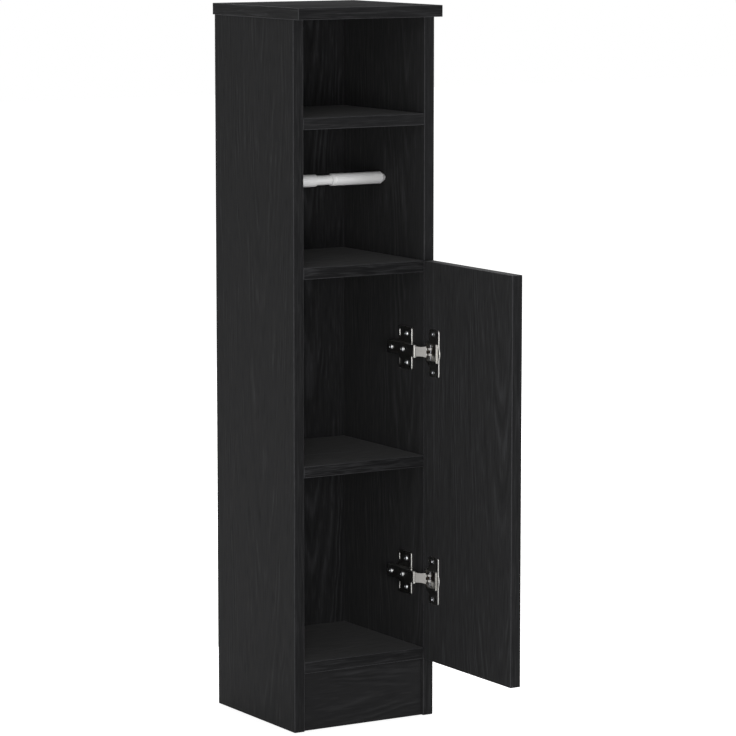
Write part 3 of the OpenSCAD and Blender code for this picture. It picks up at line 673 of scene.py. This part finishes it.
for level, z in HINGES.items():
    cup_holes = [(CUP_Y, z, CUP_RIM_R)]
    cup_holes += [(CUP_SCREW_Y, z + side * CUP_SCREW_RISE, CUP_SCREW_RIM_R) for side in SIDES]
    wing_holes = [(y, z + side * PLATE_SCREW_RISE, radius)
                  for y, radius in ((PLATE_SCREW_Y, PLATE_SCREW_RIM_R), (SLOT_Y, SLOT_RIM_R))
                  for side in SIDES]
    wing_outline = clear_of(wing_holes)
    sheet_metal(f"{level}_cup_pressing", f"{level}_hinge_cup", DOOR, bright_nickel,
                0.25 * MM, [(FLANGE_FACE, 1.1 * MM, clear_of(cup_holes))])
    sheet_metal(f"{level}_link_pressing", f"{level}_hinge_link", f"{level}_link", satin_nickel,
                0.4 * MM)
    sheet_metal(f"{level}_arm_channel", f"{level}_hinge_arm", BODY, bright_nickel,
                0.35 * MM)
    sheet_metal(f"{level}_wall_plate", f"{level}_hinge_plate", BODY, bright_nickel,
                0.3 * MM,
                [(WING_FACE, 1.3 * MM,
                  lambda point: point.y < WING_ROLL_END and wing_outline(point)),
                 (WING_FACE, 0.9 * MM, lambda point: abs(point.y - SLOT_REAR) < SAME)])


def thread(radius, pitch, start, turns, root=0.82):
    """Profile points of a thread drawn as close rings, from start downwards.

    root is the share of the radius that is left between the ridges.
    """
    points = []
    for i in range(turns):
        height = start - i * pitch
        points += [(radius * root, height), (radius, height - pitch / 2)]
    return points


# all profiles are in mm: radius and height
WOOD_HEAD_R = 3.5
PAN_HEAD_H = 2.0
ARM_HEAD_R, ARM_HEAD_H = 3.4, 1.8
# countersunk chipboard screw, its head's face at height 0 and its point downwards
flat_profile = [(0, 0.12), (0.55 * WOOD_HEAD_R, 0.09), (0.94 * WOOD_HEAD_R, -0.02),
                (WOOD_HEAD_R, -0.2), (1.6, -1.35), *thread(1.72, 1.4, -1.5, 7), (0, -12.4)]
flat_screw = cross_cut(turned("flat_head_screw", scaled(flat_profile)),
                       length=5.4 * MM, width=1.2 * MM, depth=1.1 * MM, top=0.1 * MM)
# pan-headed screw, the foot of its head at height 0
pan_profile = [(0, PAN_HEAD_H), (1.2, 1.95), (2.3, 1.6), (3.1, 0.95), (WOOD_HEAD_R, 0.2),
               (WOOD_HEAD_R, 0), (1.6, -0.02), *thread(1.72, 1.4, -2.6, 7), (0, -12)]
pan_screw = cross_cut(turned("pan_head_screw", scaled(pan_profile)),
                      length=4.2 * MM, width=0.9 * MM, depth=1.3 * MM, top=1.85 * MM)
# machine screw that clamps the arm, the foot of its head at height 0
arm_profile = [(0, ARM_HEAD_H), (2.2, 1.76), (3.1, 1.55), (ARM_HEAD_R, 1.1), (ARM_HEAD_R, 0),
               (1.95, -0.02), *thread(1.98, 0.8, -1.3, 7), (0, -7.8)]
arm_screw = cross_cut(turned("arm_machine_screw", scaled(arm_profile)),
                      length=4.3 * MM, width=1.0 * MM, depth=1.2 * MM, top=1.7 * MM)

# the screws' heads look to the left, with their crosses turned by 28 degrees
DRIVEN = facing((-1, 0, 0), 28)
cup_head_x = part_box("hinge_cup_screws")[0].x
plate_head_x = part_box("hinge_plate_screws")[0].x + PAN_HEAD_H * MM
arm_low, arm_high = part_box("hinge_arm_screws")
cup_screws = [((cup_head_x, CUP_SCREW_Y, z + side * CUP_SCREW_RISE), DRIVEN)
              for z in HINGES.values() for side in SIDES]
plate_screws = [((plate_head_x, PLATE_SCREW_Y, z + side * PLATE_SCREW_RISE), DRIVEN)
                for z in HINGES.values() for side in SIDES]
arm_screws = [((arm_low.x + ARM_HEAD_H * MM, y, z), DRIVEN) for z in HINGES.values()
              for y in (arm_low.y + ARM_HEAD_R * MM, arm_high.y - ARM_HEAD_R * MM)]
set_out("cup_screws", flat_screw, cup_screws, clear_zinc, DOOR, ["hinge_cup_screws"])
set_out("plate_screws", pan_screw, plate_screws, clear_zinc, BODY, ["hinge_plate_screws"])
set_out("arm_screws", arm_screw, arm_screws, clear_zinc, BODY, ["hinge_arm_screws"])


def rivet(name, radius, half):
    """A pin along Z, twice the half in length and chamfered at both ends."""
    end = half - 0.25 * MM
    return turned(name, [(0, -half), (radius * 0.8, -half), (radius, -end),
                         (radius, end), (radius * 0.8, half), (0, half)], 32)


hinge_gap = abs(HINGES["upper"] - HINGES["lower"])
for node_name, body in (("hinge_arm_pins", BODY), ("hinge_cup_pins", DOOR)):
    low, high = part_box(node_name)
    pin = rivet(node_name + "_pin", (high.x - low.x) / 2, (high.z - low.z - hinge_gap) / 2)
    where = [(((low.x + high.x) / 2, (low.y + high.y) / 2, z), facing((0, 0, 1)))
             for z in HINGES.values()]
    set_out(node_name.replace("hinge_", "riveted_"), pin, where, drawn_wire, body, [node_name])


# ---------------------------------------------------------------- roll spindle

def along_x(mesh, start, axis):
    """Lays a mesh that was turned about Z along +X on the spindle's axis, its height 0 at start."""
    mesh.transform(Matrix.Translation((start, axis.y, axis.z))
                   @ Matrix.Rotation(math.radians(90), 4, "Y"))
    return mesh


SPINDLE_STEPS = 72
spindle_axis = centre_of("spindle_sleeve")
sleeve_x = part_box("spindle_sleeve")[0].x
plunger_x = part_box("spindle_plunger")[0].x
# from the sleeve's mouth: bore, rounded mouth, groove, barrel, cone, journal
sleeve_profile = [(0, 70.5), (6.45, 70.5), (6.45, 0.5), (6.7, 0),
                  (7.35, 0), (7.8, 0.35), (8, 0.9),
                  (8, 4.8), (7.62, 5.0), (7.6, 5.7), (8, 5.9),
                  (8, 74.9), (7.9, 75.5), (7.4, 76.2),
                  (4.3, 81.1), (4.0, 81.5),
                  (3.0, 81.5), (3.0, 86.6), (2.6, 87.0), (0, 87.0)]
# from the left journal's end: journal, cone, barrel, shoulder, neck
plunger_profile = [(0, 0), (2.6, 0), (3.0, 0.4), (3.0, 5.5),
                   (4.0, 5.5), (4.3, 5.9), (7.4, 10.8), (7.9, 11.5),
                   (8, 12.1), (8, 79.6),
                   (7.85, 80.1), (7.2, 80.9), (6.6, 81.0), (6.4, 81.2),
                   (6.4, 138.5), (6.0, 139.0), (0, 139.0)]
sleeve = turned("sleeve_turned", scaled(sleeve_profile), SPINDLE_STEPS)
finished("spindle_sleeve_moulding", along_x(sleeve, sleeve_x, spindle_axis), (white_plastic,),
         "spindle", ["spindle_sleeve"])
plunger = turned("plunger_turned", scaled(plunger_profile), SPINDLE_STEPS)
finished("spindle_plunger_moulding", along_x(plunger, plunger_x, spindle_axis), (white_plastic,),
         "plunger", ["spindle_plunger"])

spring_low, spring_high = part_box("spindle_spring")
WIRE_R = 0.45 * MM
spring_mesh = run_tree(
    placed("spring_holder", bpy.data.meshes.new("spring_start")), spring_tree(),
    {"Turns": 10.0, "Coil radius": (spring_high.z - spring_low.z) / 2 - WIRE_R,
     "Wire radius": WIRE_R, "Length": spring_high.x - spring_low.x - 2 * WIRE_R,
     "Finish": drawn_wire}, "wound_spring")
spring_mesh.transform(Matrix.Translation((spring_low.x + WIRE_R, spindle_axis.y, spindle_axis.z)))
spring = finished("wound_spring", spring_mesh, (drawn_wire,), "spindle", ["spindle_spring"])
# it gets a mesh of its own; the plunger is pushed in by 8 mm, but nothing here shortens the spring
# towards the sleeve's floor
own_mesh(spring)


# ---------------------------------------------------------------- fittings

LEVELS = [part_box(n)[0].z for n in ("floor_panel", "inner_shelf", "middle_shelf", "upper_shelf")]
HALF_BOARD = 7.5 * MM
CAM_R = 7.5 * MM
inner_low, inner_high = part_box("middle_shelf")
cam_low, cam_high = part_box("cam_locks")
CAM_ROWS = (cam_low.y + CAM_R, cam_high.y - CAM_R)

# cam lock: a disc with a rounded rim, turned over to have the cross cut into its lower face
CAM_FACE = 0.35
cam_profile = [(0, 12), (6.6, 12), (7.4, 11.2), (7.4, 0.5), (7.0, 0.05), (5.6, 0.0),
               (5.3, CAM_FACE), (0, CAM_FACE)]
cam = turned("cam_lock", scaled(cam_profile))
cam.transform(Matrix.Rotation(math.pi, 4, "X"))
cam = cross_cut(cam, length=8.2 * MM, width=1.7 * MM, depth=1.6 * MM, top=-CAM_FACE * MM)
cam.transform(Matrix.Rotation(math.pi, 4, "X"))
cam_places = [((x, y, z), facing((0, 0, 1), spin)) for z in LEVELS for y in CAM_ROWS
              for spin, x in ((45, cam_low.x + CAM_R), (65, cam_high.x - CAM_R))]
set_out("cam_lock_discs", cam, cam_places, cast_zinc, BODY, ["cam_locks"])

# bolt along +Z from the joint: the head that the cam grips, waist, neck, and thread below 0
bolt_profile = [(0, 35.1), (2.2, 35.1), (2.85, 34.3), (2.85, 33.3), (1.8, 32.6), (1.8, 30.3),
                (2.85, 29.6), (2.85, 0.6), (2.4, 0.1), *thread(2.48, 1.6, -0.1, 5, root=0.75),
                (0, -10)]
bolt_places = [((x, y, z + HALF_BOARD), facing((inward, 0, 0))) for z in LEVELS for y in CAM_ROWS
               for inward, x in ((1, inner_low.x), (-1, inner_high.x))]
set_out("cam_bolt_set", turned("cam_bolt", scaled(bolt_profile), 32), bolt_places, cast_zinc,
        BODY, ["cam_bolts"])

DOWEL_R = 4 * MM
DOWEL_HALF = 15 * MM
# a dowel's middle lies this far beyond the joint, inside the second board
DOWEL_IN = 5 * MM


def fluted_dowel(flutes=16, steps=96, flute=0.035, chamfer=1.2 * MM):
    """A dowel along Z with chamfered ends and straight flutes for the glue.

    flute is half their depth, as a share of the radius.
    """
    shape = bmesh.new()
    rings = []
    for height, share in ((-DOWEL_HALF, 0.8), (chamfer - DOWEL_HALF, 1.0),
                          (DOWEL_HALF - chamfer, 1.0), (DOWEL_HALF, 0.8)):
        ring = []
        for a in circle(steps):
            radius = DOWEL_R * share * (1 - flute + flute * math.cos(flutes * a))
            ring.append(shape.verts.new((radius * math.cos(a), radius * math.sin(a), height)))
        rings.append(ring)
    skinned(shape, rings)
    shape.faces.new(rings[0][::-1])
    shape.faces.new(rings[-1])
    return as_mesh(shape, "dowel")


plinth_low, plinth_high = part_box("plinth")
SHELF_Y = (inner_low.y + inner_high.y) / 2
PLINTH_Y = (plinth_low.y + plinth_high.y) / 2
SIDE_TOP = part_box("left_side_panel")[1].z
dowel_places = [((x + inward * DOWEL_IN, SHELF_Y, z + HALF_BOARD), facing((1, 0, 0)))
                for z in LEVELS for inward, x in ((1, inner_low.x), (-1, inner_high.x))]
dowel_places += [((x + inward * DOWEL_IN, PLINTH_Y, share * plinth_high.z), facing((1, 0, 0)))
                 for share in (0.25, 0.75)
                 for inward, x in ((1, plinth_low.x), (-1, plinth_high.x))]
dowel_places += [((x, y, SIDE_TOP - DOWEL_IN), facing((0, 0, 1))) for y in CAM_ROWS
                 for x in (inner_low.x - HALF_BOARD, inner_high.x + HALF_BOARD)]
set_out("fluted_dowels", fluted_dowel(), dowel_places, bare_beech, BODY, ["dowels"])

NAIL_HEAD_R = 1.8
NAIL_ROWS = 5
nail_profile = [(0, 0), (1.5, -0.05), (NAIL_HEAD_R, -0.25), (1.7, -0.8), (0.8, -0.85),
                (0.8, -18.5), (0, -20)]
nail_low, nail_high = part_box("back_panel_nails")
nail_in = NAIL_HEAD_R * MM
nail_step = (nail_high.z - nail_low.z - 2 * nail_in) / (NAIL_ROWS - 1)
nail_places = [((x, nail_high.y, nail_low.z + nail_in + row * nail_step), facing((0, 1, 0)))
               for row in range(NAIL_ROWS) for x in (nail_low.x + nail_in, nail_high.x - nail_in)]
set_out("back_nails", turned("back_nail", scaled(nail_profile), 24), nail_places, clear_zinc,
        BODY, ["back_panel_nails"])


# ---------------------------------------------------------------- camera, light and floor

# fitted to the photo's straight edges without any lens shift
camera = bpy.data.cameras.new("camera")
camera.sensor_width = 36
camera.lens = 177.92
camera.clip_start = 0.1
camera.clip_end = 100
viewer = placed("camera", camera)
viewer.location = (-2.4012, -3.9709, 1.0957)
viewer.rotation_euler = (math.radians(90 - 7.731), 0, math.radians(-31.29))
bpy.context.scene.camera = viewer


def softbox(name, place, target, width, height, watts):
    """A rectangular soft lamp that looks at the target."""
    lamp = bpy.data.lights.new(name, "AREA")
    lamp.shape = "RECTANGLE"
    lamp.size, lamp.size_y = width, height
    lamp.energy = watts
    stand = placed(name, lamp)
    stand.location = place
    stand.rotation_euler = (Vector(target) - Vector(place)).to_track_quat("-Z", "Y").to_euler()


MIDDLE = (0, 0, 0.45)
softbox("camera_side_softbox", (-1.28, -2.92, 0.65), MIDDLE, 1.4, 1.1, 34)
softbox("left_softbox", (-3.15, 0, 1.0), MIDDLE, 1.4, 1.4, 7)
softbox("upper_left_softbox", (-1.96, -1.96, 2.05), MIDDLE, 1.4, 1.4, 10)
softbox("front_right_softbox", (1.65, -2.74, 0.33), (0, 0, 0.33), 1.2, 0.6, 15)
softbox("right_softbox", (3.2, 0.3, 1.0), MIDDLE, 1.4, 1.4, 22)
softbox("rear_softbox", (0.6, 3.1, 1.2), MIDDLE, 1.0, 1.4, 34)
softbox("overhead_softbox", (0.6, 0.9, 3.45), (0, 0.1, 0.9), 1.0, 1.0, 40)


def seen_directly(tree):
    """1 for rays from the camera, in a mirror or through glass, 0 for light on the object."""
    path = add(tree, "ShaderNodeLightPath").outputs
    mirror = maths(tree, "MAXIMUM", path["Is Camera Ray"], path["Is Glossy Ray"])
    return maths(tree, "MAXIMUM", mirror, path["Is Transmission Ray"])


WHITE = (1, 1, 1, 1)
room = bpy.data.worlds.new("white_studio")
room.use_nodes = True
sky = room.node_tree
sky.nodes.clear()
dim = add(sky, "ShaderNodeBackground", {"Color": (0.15, 0.15, 0.15, 1)})
shown = add(sky, "ShaderNodeBackground", {"Color": WHITE})
either = add(sky, "ShaderNodeMixShader", {0: seen_directly(sky), 1: dim, 2: shown})
add(sky, "ShaderNodeOutputWorld", {"Surface": either})
bpy.context.scene.world = room

# painted studio floor: it shows white wherever the object's shadow doesn't fall
floor_paint, paint = new_finish("white_studio_floor")
rolled = add(paint, "ShaderNodeTexNoise", {"Vector": object_place(paint), "Scale": 3, "Detail": 2})
matt = add(paint, "ShaderNodeBsdfDiffuse",
           {"Color": ramp(paint, rolled, ((0.3, "#ececec"), (0.7, "#f2f2f2")))})
# it rises into a lit backdrop, so it glows more away from the middle
far = add(paint, "ShaderNodeVectorMath", {0: object_place(paint)}, operation="LENGTH")
rise = mapped(paint, far.outputs["Value"], (0.8, 1.05), (0.3, 2.0))
glow = add(paint, "ShaderNodeEmission", {"Color": WHITE, "Strength": rise})
lifted = add(paint, "ShaderNodeAddShader", {0: matt, 1: glow})
close_finish(paint, add(paint, "ShaderNodeMixShader",
                        {0: seen_directly(paint), 1: matt, 2: lifted}))
# 0.2 mm under the boards' feet, so that the two faces don't coincide
FLOOR_Z = -0.2 * MM
FLOOR_REACH = 12
floor_shape = bmesh.new()
bmesh.ops.create_grid(floor_shape, x_segments=8, y_segments=8, size=FLOOR_REACH,
                      matrix=Matrix.Translation((0, 0, FLOOR_Z)))
floor_mesh = as_mesh(floor_shape, "studio_floor")
floor_mesh.materials.append(floor_paint)
studio_floor = placed("studio_floor", floor_mesh)

view = bpy.context.scene.view_settings
view.view_transform = "Standard"
